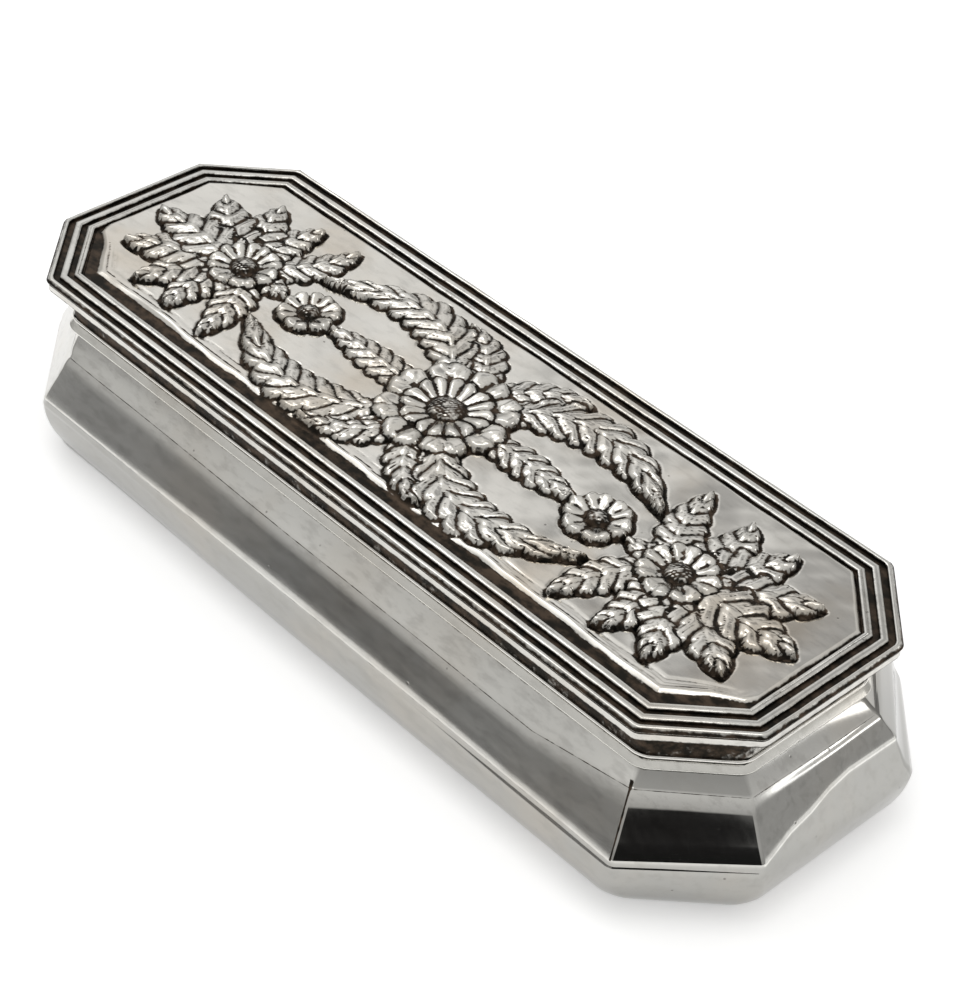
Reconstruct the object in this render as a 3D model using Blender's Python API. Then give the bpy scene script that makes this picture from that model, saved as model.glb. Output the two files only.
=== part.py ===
# Long eight-sided silver box with a hinged lid.
# Units are metres, +Z is up, +X runs along the box, the hinge is on the +Y side,
# and the origin is on the floor, under the middle of the box.
# Every ring of the box is the octagon of the mouth, grown or shrunk by an overhang.

import math

import bmesh
import bpy
from mathutils import Vector

# The mouth, where body and lid meet
mouth_length = 0.1706
mouth_width = 0.0514
mouth_corner_leg = 0.0116
mouth_corner_radius = 0.0040
seam_gap = 0.0003
joint_gap = 0.0003

# Body heights are above the floor, drops are below the mouth
body_height = 0.0276
body_wall = 0.0009
cove_drop = 0.0023
cove_pull_drop = 0.0042
cove_pull_overhang = 0.0013
crease_drop = 0.0051
crease_overhang = 0.0034
crease_corner_radius = 0.0006
shoulder_drop = 0.0134
shoulder_overhang = 0.0082
belly_height = 0.0110
belly_overhang = 0.0090
base_overhang = 0.0016
base_corner_radius = 0.0080
base_flange = 0.0050
base_plate_thickness = 0.0010

# Wire round the mouth and strip inside it
bead_width = 0.0009
bead_height = 0.0018
neck_step = 0.0003
bezel_thickness = 0.0006
bezel_above_mouth = 0.0016
bezel_below_mouth = 0.0040

# Lid heights are above the mouth
lid_height = 0.0104
lid_overhang = 0.0044
lid_sheet = 0.0007
reed_pitch = 0.00245
reed_width = 0.00125
groove_depth = 0.0008
roll_width = 0.0012
fascia_height = 0.0027
fascia_setback = 0.0003
panel_drop = 0.0002
apron_wall = 0.0007
apron_lip_height = 0.0007
apron_lip_bulge = 0.0005
apron_neck_height = 0.0030
apron_corner_radius = 0.0012

# Relief of the lid's panel
relief_height = 0.0022
relief_grid_steps = 7
rosette_radius = 0.0130
rosette_button_radius = 0.0032
side_flower_radius = 0.0062
end_flower_radius = 0.0072

# Hinge
knuckle_radius = 0.0013
pin_radius = 0.0005
pin_clearance = 0.00006
hinge_length = 0.0900
pin_head = 0.0004
hinge_sides = 20

# Shares of the hinge's length, from one end to the other
body_end_knuckle_share = 0.15
lid_knuckle_share = 0.20
octagon_growth_share = 2 - math.sqrt(2)

# Places of the small flowers, as shares of the panel's half length
side_flower_share = 0.448
end_flower_share = 0.671

# Leaves on one quarter of the panel: root, bend and tip as shares of its half length and half width,
# then half the leaf's width as a share of the half width, and its share of the relief's height
leaf_shares = (
    ((0.018, 0.347), (0.060, 0.781), (0.194, 0.889), 0.145, 0.59),
    ((0.073, 0.282), (0.242, 1.062), (0.526, 0.369), 0.215, 0.73),
    ((0.109, 0.0), (0.242, 0.052), (0.387, 0.0), 0.150, 0.61),
    ((0.641, 0.108), (0.563, 0.347), (0.544, 0.846), 0.170, 0.64),
    ((0.629, 0.0), (0.581, 0.026), (0.525, 0.0), 0.105, 0.50),
    ((0.671, 0.0), (0.703, 0.438), (0.663, 0.824), 0.185, 0.73),
    ((0.671, 0.0), (0.761, 0.384), (0.795, 0.797), 0.200, 0.73),
    ((0.671, 0.0), (0.817, 0.238), (0.923, 0.520), 0.210, 0.73),
    ((0.671, 0.0), (0.841, 0.0), (0.980, 0.0), 0.225, 0.73),
)
spine_points = 22
corner_points = 5
arc_steps = 5

seam_height = body_height
hinge_offset = bead_width + joint_gap + knuckle_radius
hinge_y = mouth_width / 2 + hinge_offset
roll_centre = lid_overhang - roll_width / 2
outer_reed_centre = roll_centre - reed_pitch
inner_reed_centre = outer_reed_centre - reed_pitch
panel_edge = inner_reed_centre - reed_pitch / 2 - reed_width / 4
groove_floor = lid_height - groove_depth
lid_underside = groove_floor - lid_sheet
panel_height = lid_height - panel_drop
panel_half_length = mouth_length / 2 + panel_edge
panel_half_width = mouth_width / 2 + panel_edge


def clear_scene():
    """Remove whatever the file holds before the box is built."""
    for item in list(bpy.data.objects):
        bpy.data.objects.remove(item, do_unlink=True)


def silver(name, colour, roughness):
    """A polished metal material for one piece."""
    material = bpy.data.materials.new(name)
    material.use_nodes = True
    shader = material.node_tree.nodes["Principled BSDF"]
    shader.inputs["Base Color"].default_value = (*colour, 1.0)
    shader.inputs["Metallic"].default_value = 1.0
    shader.inputs["Roughness"].default_value = roughness
    return material


def finish(name, mesh_builder, colour, roughness, hinged=False, smooth_angle=35.0):
    """Turn a bmesh into a named object, standing on the floor or hung on the hinge axis."""
    bmesh.ops.recalc_face_normals(mesh_builder, faces=mesh_builder.faces[:])
    mesh = bpy.data.meshes.new(name)
    mesh_builder.to_mesh(mesh)
    mesh_builder.free()
    mesh.materials.append(silver(name, colour, roughness))
    mesh.shade_smooth()
    mesh.set_sharp_from_angle(angle=math.radians(smooth_angle))
    piece = bpy.data.objects.new(name, mesh)
    bpy.context.collection.objects.link(piece)
    if hinged:
        piece.parent = lid_axis
    return piece


def octagon(overhang, height, radius=0.0, points=1):
    """Ring of the mouth's octagon grown by an overhang, with its eight corners rounded."""
    half_x = mouth_length / 2 + overhang
    half_y = mouth_width / 2 + overhang
    leg = mouth_corner_leg + overhang * octagon_growth_share
    corners = [
        Vector((half_x, -half_y + leg)),
        Vector((half_x, half_y - leg)),
        Vector((half_x - leg, half_y)),
        Vector((-half_x + leg, half_y)),
        Vector((-half_x, half_y - leg)),
        Vector((-half_x, -half_y + leg)),
        Vector((-half_x + leg, -half_y)),
        Vector((half_x - leg, -half_y)),
    ]
    if points == 1:
        return [Vector((c.x, c.y, height)) for c in corners]
    ring = []
    turn = math.radians(360 / len(corners))
    for index, corner in enumerate(corners):
        along = (corner - corners[index - 1]).normalized()
        inward = Vector((-along.y, along.x))
        centre = corner - along * radius * math.tan(turn / 2) + inward * radius
        for step in range(points):
            angle = turn * step / (points - 1)
            spoke = along * math.sin(angle) - inward * math.cos(angle)
            place = centre + spoke * radius
            ring.append(Vector((place.x, place.y, height)))
    return ring


def add_loop(builder, ring):
    """Add one ring of vertices."""
    return [builder.verts.new(place) for place in ring]


def skin(builder, lower, upper):
    """Join two rings of equal count with a band of four-sided faces."""
    count = len(lower)
    for index in range(count):
        after = (index + 1) % count
        builder.faces.new((lower[index], lower[after], upper[after], upper[index]))


def swept_ring(profile, points=corner_points):
    """Sweep a closed profile of (overhang, height, corner radius) round the octagon."""
    builder = bmesh.new()
    loops = [add_loop(builder, octagon(out, up, radius, points)) for out, up, radius in profile]
    for index, loop in enumerate(loops):
        skin(builder, loop, loops[(index + 1) % len(loops)])
    return builder


def ellipse(centre, radii, start, end, steps=arc_steps):
    """Points of (overhang, height) along an ellipse, angles in degrees from the outward side."""
    points = []
    for step in range(steps + 1):
        angle = math.radians(start + (end - start) * step / steps)
        points.append((centre[0] + radii[0] * math.cos(angle), centre[1] + radii[1] * math.sin(angle)))
    return points


def curve(start, pull, end, steps=arc_steps):
    """Points of (overhang, height) along a quadratic curve."""
    points = []
    for step in range(steps + 1):
        t = step / steps
        points.append(tuple(
            (1 - t) ** 2 * start[k] + 2 * t * (1 - t) * pull[k] + t ** 2 * end[k] for k in (0, 1)))
    return points


def inset(points, thickness):
    """The same profile moved to the right of its own run by a wall thickness."""
    moved = []
    for index, point in enumerate(points):
        before = Vector(points[max(index - 1, 0)])
        after = Vector(points[min(index + 1, len(points) - 1)])
        run = (after - before).normalized()
        side = Vector((run.y, -run.x))
        moved.append((point[0] + side.x * thickness, point[1] + side.y * thickness))
    return moved


def joined(*runs):
    """Chain runs of profile points, leaving out the repeated ends."""
    chain = []
    for run in runs:
        for point in run:
            if not chain or (Vector(point) - Vector(chain[-1])).length > joint_gap / 10:
                chain.append(point)
    return chain


def wall_radius(height):
    """Corner radius of the body's wall: rounded at the mouth, crisp at the crease, soft at the foot."""
    crease_height = body_height - crease_drop
    if height > crease_height:
        share = min((height - crease_height) / (crease_drop - cove_drop), 1.0)
        return crease_corner_radius + (mouth_corner_radius - crease_corner_radius) * share
    share = (crease_height - height) / crease_height
    return crease_corner_radius + (base_corner_radius - crease_corner_radius) * share ** 2


def cove_run():
    """Hollow of the body's wall, from below the wire down to the crease."""
    top = (0.0, body_height - cove_drop)
    pull = (cove_pull_overhang, body_height - cove_pull_drop)
    return curve(top, pull, (crease_overhang, body_height - crease_drop))


def body_shell():
    """Stamped wall of the body, open at the mouth and underneath."""
    neck = [(-neck_step, body_height - seam_gap / 2), (-neck_step, body_height - cove_drop)]
    cove = cove_run()
    crease = cove[-1]
    shoulder = (shoulder_overhang, body_height - shoulder_drop)
    belly = (belly_overhang, belly_height)
    mid_facet = ((crease[0] + shoulder[0]) / 2 + joint_gap, (crease[1] + shoulder[1]) / 2)
    slope = (shoulder[0] - mid_facet[0]) / (mid_facet[1] - shoulder[1])
    belly_pull = (belly_overhang, shoulder[1] - (belly_overhang - shoulder[0]) / slope)
    facet = [crease, mid_facet, shoulder]
    belly_run = curve(shoulder, belly_pull, belly)
    foot = ellipse((base_overhang, belly_height), (belly_overhang - base_overhang, belly_height), 0, -90)
    outside = joined(neck, cove, facet, belly_run, foot)
    inside = inset(outside, body_wall)
    inside[0] = (inside[0][0], outside[0][1])
    inside[-1] = (base_overhang, body_wall)
    flange = [(base_overhang - base_flange, 0.0), (base_overhang - base_flange, body_wall)]
    profile = outside + flange + inside[::-1]
    rounded = [(out, up, wall_radius(up)) for out, up in profile]
    return finish("body_shell", swept_ring(rounded), (0.72, 0.71, 0.69), 0.16)


def plate(name, overhang, low, high, radius, colour, roughness):
    """Flat sheet with the outline of the octagon."""
    builder = bmesh.new()
    bottom = add_loop(builder, octagon(overhang, low, radius, corner_points))
    top = add_loop(builder, octagon(overhang, high, radius, corner_points))
    skin(builder, bottom, top)
    builder.faces.new(bottom[::-1])
    builder.faces.new(top)
    return finish(name, builder, colour, roughness)


def base_plate():
    """Flat sheet let into the opening of the foot."""
    overhang = base_overhang - base_flange - joint_gap
    return plate("base_plate", overhang, 0.0, base_plate_thickness, base_corner_radius,
                 (0.68, 0.67, 0.65), 0.28)


def body_rim_bead():
    """Half-round wire round the outside of the mouth."""
    top = body_height - seam_gap / 2
    middle = top - bead_height / 2
    face = ellipse((0.0, middle), (bead_width, bead_height / 2), 90, -90, arc_steps + 1)
    profile = [(out, up, mouth_corner_radius) for out, up in face]
    return finish("body_rim_bead", swept_ring(profile), (0.76, 0.75, 0.73), 0.14)


def body_bezel():
    """Thin strip inside the mouth, standing up into the lid."""
    outer = -neck_step - body_wall - joint_gap
    inner = outer - bezel_thickness
    low = body_height - bezel_below_mouth
    high = body_height + bezel_above_mouth
    radius = mouth_corner_radius - joint_gap
    profile = [(outer, high), (outer, low), (inner, low), (inner, high)]
    return finish("body_bezel", swept_ring([(o, z, radius) for o, z in profile]), (0.74, 0.72, 0.68), 0.20)


def half_round(centre, width, steps=arc_steps):
    """Top of a reed, from its inner foot to its outer foot, in overhang and height."""
    radii = (width / 2, groove_depth)
    return ellipse((centre, groove_floor), radii, 180, 0, steps)


def eased(value, low, high):
    """Smooth step from 0 to 1 between two values."""
    share = min(max((value - low) / (high - low), 0.0), 1.0)
    return share * share * (3 - 2 * share)


def flower(x, y, centre, radius, petals):
    """Share of full height on a ring of dished petals round a centre."""
    reach = math.hypot(x - centre, y) / radius
    if reach >= 1:
        return 0.0
    angle = math.atan2(y, x - centre)
    share = reach / (0.8 + 0.2 * math.sqrt(abs(math.cos(petals * angle / 2))))
    if share >= 1:
        return 0.0
    return 0.36 + 0.56 * eased(share, 0.35, 0.88) * (1 - 0.35 * eased(share, 0.9, 1.0))


def button(x, y, centre, radius):
    """Share of full height on the round middle of a flower."""
    reach = math.hypot(x - centre, y) / radius
    return math.sqrt(max(1 - reach * reach, 0.0))


def leaf_spine(root, bend, tip):
    """Places along the midrib of a bent leaf."""
    size = Vector((panel_half_length, panel_half_width))
    root, bend, tip = (Vector(point) * size for point in (root, bend, tip))
    shares = [k / spine_points for k in range(spine_points + 1)]
    return [(t, root * (1 - t) ** 2 + bend * (2 * t * (1 - t)) + tip * t ** 2) for t in shares]


leaf_spines = [(leaf_spine(*points[:3]), points[3] * panel_half_width, points[4]) for points in leaf_shares]


def leaf(place, spine, half_width):
    """Share of full height on a leaf with a rounded back, which rises towards its tip."""
    t, across = min(((t, (place - point).length) for t, point in spine), key=lambda pair: pair[1])
    half = half_width * (0.06 + 0.95 * math.sin(math.pi * t ** 0.75) ** 0.8)
    if across >= half:
        return 0.0
    dome = math.sqrt(1 - (across / half) ** 2)
    return (0.75 + 0.35 * t * t) * (0.42 + 0.58 * dome)


def relief(x, y):
    """Height of the raised work above the panel's ground, the same on all four quarters of the panel."""
    place = Vector((abs(x), abs(y)))
    side = side_flower_share * panel_half_length
    end = end_flower_share * panel_half_length
    shares = [height * leaf(place, spine, half_width) for spine, half_width, height in leaf_spines]
    shares += [
        0.76 * flower(place.x, place.y, 0.0, rosette_radius, 8),
        0.62 * flower(place.x, place.y, side, side_flower_radius, 6),
        0.68 * flower(place.x, place.y, end, end_flower_radius, 7),
        button(place.x, place.y, 0.0, rosette_button_radius),
        0.78 * button(place.x, place.y, side, side_flower_radius / 3),
        0.86 * button(place.x, place.y, end, end_flower_radius / 3),
    ]
    return relief_height * max(shares)


def stations(half, leg, steps):
    """Places along one side of the panel, equal within each corner's leg."""
    pitch = leg / steps
    middle = max(1, round((2 * half - 2 * leg) / pitch))
    near = [-half + pitch * k for k in range(steps)]
    between = [-half + leg + (2 * half - 2 * leg) * k / middle for k in range(middle)]
    far = [half - leg + pitch * k for k in range(steps + 1)]
    return near + between + far


def relief_panel(builder, steps):
    """Grid of the raised panel, and the vertices of its eight straight edges in ring order."""
    leg = mouth_corner_leg + panel_edge * octagon_growth_share
    xs = stations(panel_half_length, leg, steps)
    ys = stations(panel_half_width, leg, steps)
    last_x = len(xs) - 1
    last_y = len(ys) - 1
    verts = {}
    for i, x in enumerate(xs):
        for j, y in enumerate(ys):
            corner = min(i, last_x - i) + min(j, last_y - j)
            if corner < steps:
                continue
            on_edge = corner == steps or i in (0, last_x) or j in (0, last_y)
            height = panel_height + (0.0 if on_edge else relief(x, y))
            verts[i, j] = builder.verts.new((x, y, height))
    for i in range(last_x):
        for j in range(last_y):
            cell = [verts.get(key) for key in ((i, j), (i + 1, j), (i + 1, j + 1), (i, j + 1))]
            cell = [vert for vert in cell if vert]
            if len(cell) > 2:
                builder.faces.new(cell)
    sides = [
        [verts[last_x, j] for j in range(steps, last_y - steps + 1)],
        [verts[last_x - k, last_y - steps + k] for k in range(steps + 1)],
        [verts[i, last_y] for i in range(last_x - steps, steps - 1, -1)],
        [verts[steps - k, last_y - k] for k in range(steps + 1)],
        [verts[0, j] for j in range(last_y - steps, steps - 1, -1)],
        [verts[k, steps - k] for k in range(steps + 1)],
        [verts[i, 0] for i in range(steps, last_x - steps + 1)],
        [verts[last_x - steps + k, k] for k in range(steps + 1)],
    ]
    return sides


def lid_cover():
    """Stamped cover of the lid: relief panel, two reeds, outer roll and fascia in one sheet."""
    top_of_roll = (roll_centre, groove_floor)
    roll = ellipse(top_of_roll, (roll_width / 2, groove_depth), 180, -40, arc_steps + 1)
    fascia_top = groove_floor - groove_depth
    fascia_low = lid_height - fascia_height
    fascia_out = lid_overhang - fascia_setback
    underside = panel_height - lid_sheet
    outline = joined(
        [(panel_edge + groove_depth / 2, groove_floor)],
        half_round(inner_reed_centre, reed_width),
        half_round(outer_reed_centre, reed_width),
        roll,
        [(fascia_out, fascia_top), (fascia_out, fascia_low + joint_gap)],
        [(fascia_out - joint_gap, fascia_low)],
        [(fascia_out - lid_sheet, fascia_low), (fascia_out - lid_sheet, lid_underside)],
        [(panel_edge, lid_underside), (panel_edge - lid_sheet, underside)],
    )
    builder = bmesh.new()
    loops = [add_loop(builder, octagon(out, up)) for out, up in outline]
    for lower, upper in zip(loops, loops[1:]):
        skin(builder, lower, upper)
    builder.faces.new(loops[-1][::-1])
    first = loops[0]
    for index, side in enumerate(relief_panel(builder, relief_grid_steps)):
        after = (index + 1) % len(first)
        builder.faces.new([first[index], first[after]] + side[::-1])
    hang_on_axis(builder)
    return finish("lid_cover", builder, (0.74, 0.72, 0.69), 0.18, hinged=True)


def hang_on_axis(builder):
    """Move a lid piece, drawn round the middle of the mouth, into the frame of the hinge axis."""
    bmesh.ops.translate(builder, verts=builder.verts[:], vec=(0.0, -hinge_y, 0.0))


def apron_radius(height):
    """Corner radius of the apron: as the mouth below, crisper under the cover."""
    share = min(max(height / lid_underside, 0.0), 1.0)
    return mouth_corner_radius + (apron_corner_radius - mouth_corner_radius) * share


def hollow_run():
    """Hollow of the apron, from its neck up to the fascia."""
    out = lid_overhang - fascia_setback - lid_sheet - joint_gap
    up = lid_height - fascia_height
    return curve((0.0, apron_neck_height), (0.0, up), (out, up), arc_steps + 1)


def lid_apron():
    """Hollow-moulded collar under the cover, with a thin lip at the seam."""
    low = seam_gap / 2
    top = lid_underside - joint_gap
    lip_middle = low + apron_lip_height / 2
    lip = ellipse((0.0, lip_middle), (apron_lip_bulge, apron_lip_height / 2), -90, 90, arc_steps - 1)
    hollow = hollow_run()
    rim = hollow[-1][0]
    outside = joined(lip, hollow, [(rim, top)])
    inside = [
        (rim - apron_wall * 2, top),
        (-apron_wall, apron_neck_height + apron_wall * 2),
        (-apron_wall, low),
    ]
    profile = [(out, up, apron_radius(up)) for out, up in outside + inside]
    builder = swept_ring(profile)
    hang_on_axis(builder)
    return finish("lid_apron", builder, (0.70, 0.68, 0.65), 0.22, hinged=True)


def disc(x, radius, sides):
    """Ring of points round the hinge axis at one place along it."""
    ring = []
    for step in range(sides):
        angle = 2 * math.pi * step / sides
        ring.append(Vector((x, radius * math.cos(angle), radius * math.sin(angle))))
    return ring


def tube(x_start, x_end):
    """Hinge tube along the axis, bored for the pin."""
    builder = bmesh.new()
    bore = pin_radius + pin_clearance
    stops = [(x_start, knuckle_radius), (x_end, knuckle_radius), (x_end, bore), (x_start, bore)]
    loops = [add_loop(builder, disc(x, radius, hinge_sides)) for x, radius in stops]
    for index, loop in enumerate(loops):
        skin(builder, loop, loops[(index + 1) % len(loops)])
    return builder


def hinge_knuckles():
    """Five tubes in line: three fixed to the body and two to the lid."""
    end = hinge_length * body_end_knuckle_share
    leaf_run = hinge_length * lid_knuckle_share
    middle = hinge_length - 2 * end - 2 * leaf_run
    runs = [
        ("body_knuckle_left", end, False),
        ("lid_knuckle_left", leaf_run, True),
        ("body_knuckle_middle", middle, False),
        ("lid_knuckle_right", leaf_run, True),
        ("body_knuckle_right", end, False),
    ]
    x = -hinge_length / 2
    for name, run, on_lid in runs:
        mesh = tube(x + joint_gap / 2, x + run - joint_gap / 2)
        piece = finish(name, mesh, (0.70, 0.69, 0.67), 0.22, on_lid)
        if not on_lid:
            piece.location = (0.0, hinge_y, seam_height)
        x += run


def hinge_pin():
    """Wire through the five tubes, with its ends slightly spread."""
    half = hinge_length / 2
    builder = bmesh.new()
    stops = [
        (-half - pin_head - joint_gap, pin_radius),
        (-half - joint_gap, pin_radius + pin_clearance * 2),
        (-half, pin_radius),
        (half, pin_radius),
        (half + joint_gap, pin_radius + pin_clearance * 2),
        (half + pin_head + joint_gap, pin_radius),
    ]
    loops = [add_loop(builder, disc(x, radius, hinge_sides)) for x, radius in stops]
    for lower, upper in zip(loops, loops[1:]):
        skin(builder, lower, upper)
    builder.faces.new(loops[0])
    builder.faces.new(loops[-1][::-1])
    piece = finish("hinge_pin", builder, (0.62, 0.60, 0.57), 0.30)
    piece.location = (0.0, hinge_y, seam_height)
    return piece


def strip(profile):
    """Prism along the hinge, from a closed profile of (y, z) measured from the hinge axis."""
    builder = bmesh.new()
    half = hinge_length / 2
    ends = [[builder.verts.new((x, y, z)) for y, z in profile] for x in (-half, half)]
    skin(builder, ends[0], ends[1])
    builder.faces.new(ends[0][::-1])
    builder.faces.new(ends[1])
    return builder


def hinge_bearers():
    """Two strips with hollow seats that carry the tubes, one on the body and one on the lid."""
    seat = (knuckle_radius + joint_gap, knuckle_radius + joint_gap)
    below = ellipse((0.0, 0.0), seat, -62, -128)
    cove = [(out - hinge_offset, up - seam_height) for out, up in inset(cove_run(), -joint_gap)]
    body = finish("body_hinge_bearer", strip(below + cove[1:]), (0.70, 0.69, 0.67), 0.24)
    body.location = (0.0, hinge_y, seam_height)
    above = ellipse((0.0, 0.0), seat, 75, 145)
    hollow = [(out - hinge_offset, up) for out, up in inset(hollow_run(), joint_gap)]
    neck_foot = (hollow[0][0], apron_lip_height * 2)
    mesh = strip(above + [neck_foot] + hollow[:3])
    finish("lid_hinge_bearer", mesh, (0.70, 0.69, 0.67), 0.24, hinged=True)


clear_scene()
lid_axis = bpy.data.objects.new("lid_axis", None)
bpy.context.collection.objects.link(lid_axis)
lid_axis.location = (0.0, hinge_y, seam_height)

body_shell()
base_plate()
body_rim_bead()
body_bezel()
lid_cover()
lid_apron()
hinge_knuckles()
hinge_pin()
hinge_bearers()
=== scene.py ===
import math

import bmesh
import bpy
import numpy as np
from mathutils import Matrix, Vector


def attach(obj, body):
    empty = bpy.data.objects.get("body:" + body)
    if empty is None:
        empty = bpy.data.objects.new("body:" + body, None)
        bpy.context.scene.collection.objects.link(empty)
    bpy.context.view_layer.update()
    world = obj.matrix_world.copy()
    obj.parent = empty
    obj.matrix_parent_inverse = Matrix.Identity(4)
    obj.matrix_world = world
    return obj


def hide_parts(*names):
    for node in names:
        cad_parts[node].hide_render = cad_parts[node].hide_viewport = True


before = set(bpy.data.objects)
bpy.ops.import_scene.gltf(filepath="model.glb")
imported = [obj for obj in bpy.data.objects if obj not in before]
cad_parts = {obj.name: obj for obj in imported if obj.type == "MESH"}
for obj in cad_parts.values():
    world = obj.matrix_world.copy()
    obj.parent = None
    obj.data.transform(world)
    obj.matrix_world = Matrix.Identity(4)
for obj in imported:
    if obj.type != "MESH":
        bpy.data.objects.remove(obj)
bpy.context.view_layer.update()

# Body wall.
# One length of sheet silver, stamped to a hollow waist, eight flat facets and a rounded belly, and
# soldered at a corner. Its foot turns in under the box to hold the base plate.
mm = 0.001
mouth_length = 170.6 * mm
mouth_width = 51.4 * mm
mouth_corner_leg = 11.6 * mm
seam_height = 27.6 * mm
crease_height = 22.5 * mm
shoulder_height = 14.2 * mm


def octagon_plate(name, overhang, height):
    """Add a flat plate with the outline of the mouth, grown by an overhang, ready in edit mode."""
    bpy.ops.object.select_all(action='DESELECT')
    bpy.ops.mesh.primitive_plane_add(size=1, location=(0, 0, height))
    plate = bpy.context.object
    plate.name = plate.data.name = name
    bpy.ops.object.mode_set(mode='EDIT')
    bpy.ops.mesh.select_mode(type='FACE')
    bpy.ops.transform.resize(value=(mouth_length + 2 * overhang, mouth_width + 2 * overhang, 1))
    leg = mouth_corner_leg + overhang * (2 - math.sqrt(2))
    bpy.ops.mesh.bevel(offset=leg, offset_type='OFFSET', affect='VERTICES', segments=1, clamp_overlap=False)
    return plate


def draw_in(run, facing=1):
    """Carry the selected face along a run of (overhang, height), leaving narrow bands of wall."""
    for (out, up), (next_out, next_up) in zip(run, run[1:]):
        bpy.ops.mesh.inset(thickness=max(out - next_out, 0), depth=facing * (next_up - up), use_even_offset=True)


def select_faces(plate, test):
    """Select only the faces whose centre and normal pass a test."""
    bpy.ops.mesh.select_mode(type='FACE')
    bpy.ops.mesh.select_all(action='DESELECT')
    mesh = bmesh.from_edit_mesh(plate.data)
    for face in mesh.faces:
        face.select_set(test(face.calc_center_median() + plate.location, face.normal))
    bmesh.update_edit_mesh(plate.data)


def arc(centre, radii, start, end, steps):
    """Points of (overhang, height) on an ellipse, in millimetres and degrees from the outward side."""
    points = []
    for step in range(steps + 1):
        angle = math.radians(start + (end - start) * step / steps)
        points.append(((centre[0] + radii[0] * math.cos(angle)) * mm, (centre[1] + radii[1] * math.sin(angle)) * mm))
    return points


def sweep(start, pull, end, steps):
    """Points of (overhang, height) on a smooth bend, in millimetres."""
    points = []
    for step in range(steps + 1):
        t = step / steps
        points.append(tuple(((1 - t) ** 2 * a + 2 * t * (1 - t) * b + t * t * c) * mm
                            for a, b, c in zip(start, pull, end)))
    return points


def round_arrises(plate, radius_at, largest, segments=5):
    """Round the eight corners of a piece, with a radius that changes from place to place."""
    bpy.ops.object.mode_set(mode='EDIT')
    mesh = bmesh.from_edit_mesh(plate.data)
    weight = mesh.edges.layers.float.new('bevel_weight_edge')
    for edge in mesh.edges:
        middle = (edge.verts[0].co + edge.verts[1].co) / 2 + plate.location
        normals = [face.normal for face in edge.link_faces]
        if len(normals) == 2 and normals[0].xy.length > 0.05 and normals[1].xy.length > 0.05:
            if 0.3 < normals[0].xy.angle(normals[1].xy) < 1.3:
                edge[weight] = radius_at(middle) / largest
    bmesh.update_edit_mesh(plate.data)
    bpy.ops.object.mode_set(mode='OBJECT')
    rounding = plate.modifiers.new("rounding", 'BEVEL')
    rounding.limit_method = 'WEIGHT'
    rounding.width = largest * math.tan(math.radians(22.5))
    rounding.segments = segments
    rounding.use_clamp_overlap = False
    bpy.ops.object.modifier_apply(modifier="rounding")


def settle(piece, body, smooth_angle=30):
    """Put a finished piece's place in its mesh, shade it and let it ride on its body."""
    if bpy.context.object.mode != 'OBJECT':
        bpy.ops.object.mode_set(mode='OBJECT')
    bpy.ops.object.select_all(action='DESELECT')
    piece.select_set(True)
    bpy.context.view_layer.objects.active = piece
    bpy.ops.object.transform_apply(location=True, rotation=True, scale=True)
    bpy.ops.object.shade_smooth_by_angle(angle=math.radians(smooth_angle))
    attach(piece, body)


def wall_radius(place):
    """Corner radius of the wall: rounded at the mouth, crisp along the facets, soft at the foot."""
    if place.z > crease_height:
        return (0.9 + 3.1 * min((place.z - crease_height) / (2.6 * mm), 1)) * mm
    return (0.9 + 9.0 * max((shoulder_height - place.z) / shoulder_height, 0) ** 1.6) * mm


body_wall = octagon_plate("body_wall", 9.0 * mm, 10.6 * mm)
bpy.ops.mesh.extrude_region_move(TRANSFORM_OT_translate={"value": (0, 0, 0.8 * mm)})
belly = sweep((9.0, 11.4), (9.0, 12.0), (8.35, 13.3), 4)
belly += [(8.3 * mm, 13.58 * mm), (8.27 * mm, 13.7 * mm), (8.24 * mm, 13.82 * mm)]
facet = [(out * mm, up * mm) for out, up in (
    (8.2, 14.05), (8.13, 14.2), (8.06, 14.35), (7.68, 15.15), (6.87, 16.57), (5.65, 18.81), (4.78, 20.43),
    (4.45, 21.02), (4.18, 21.43), (3.9, 21.8), (3.62, 22.14))]
cove = sweep((3.33, 22.5), (1.5, 23.75), (0.0, 25.3), 8)
cove.insert(1, (3.21 * mm, 22.58 * mm))
draw_in(belly + facet + [(3.4 * mm, 22.41 * mm)] + cove + [(-0.3 * mm, 25.35 * mm), (-0.3 * mm, 27.45 * mm)])
bpy.ops.mesh.inset(thickness=0.9 * mm, depth=0, use_even_offset=True)
bpy.ops.mesh.delete(type='FACE')
select_faces(body_wall, lambda centre, normal: normal.z < -0.9)
draw_in(arc((1.6, 10.6), (7.4, 10.6), 0, -90, 12), -1)
bpy.ops.mesh.inset(thickness=5.0 * mm, depth=0, use_even_offset=True)
bpy.ops.mesh.delete(type='FACE')
round_arrises(body_wall, wall_radius, 8.0 * mm)
bpy.ops.object.mode_set(mode='EDIT')
for along, places_cut in ((Vector((1, 0, 0)), range(-66, 67, 12)), (Vector((0, 1, 0)), range(-10, 11, 5))):
    for cut in places_cut:
        bpy.ops.mesh.select_all(action='SELECT')
        bpy.ops.mesh.bisect(plane_co=along * cut * mm, plane_no=along)
bpy.ops.object.mode_set(mode='OBJECT')
bpy.ops.object.transform_apply(location=True)


def mark(piece, name, values):
    """Keep a value for each place on the sheet under a name that its material reads."""
    piece.data.attributes.new(name, 'FLOAT', 'POINT').data.foreach_set("value", values.ravel())


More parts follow.
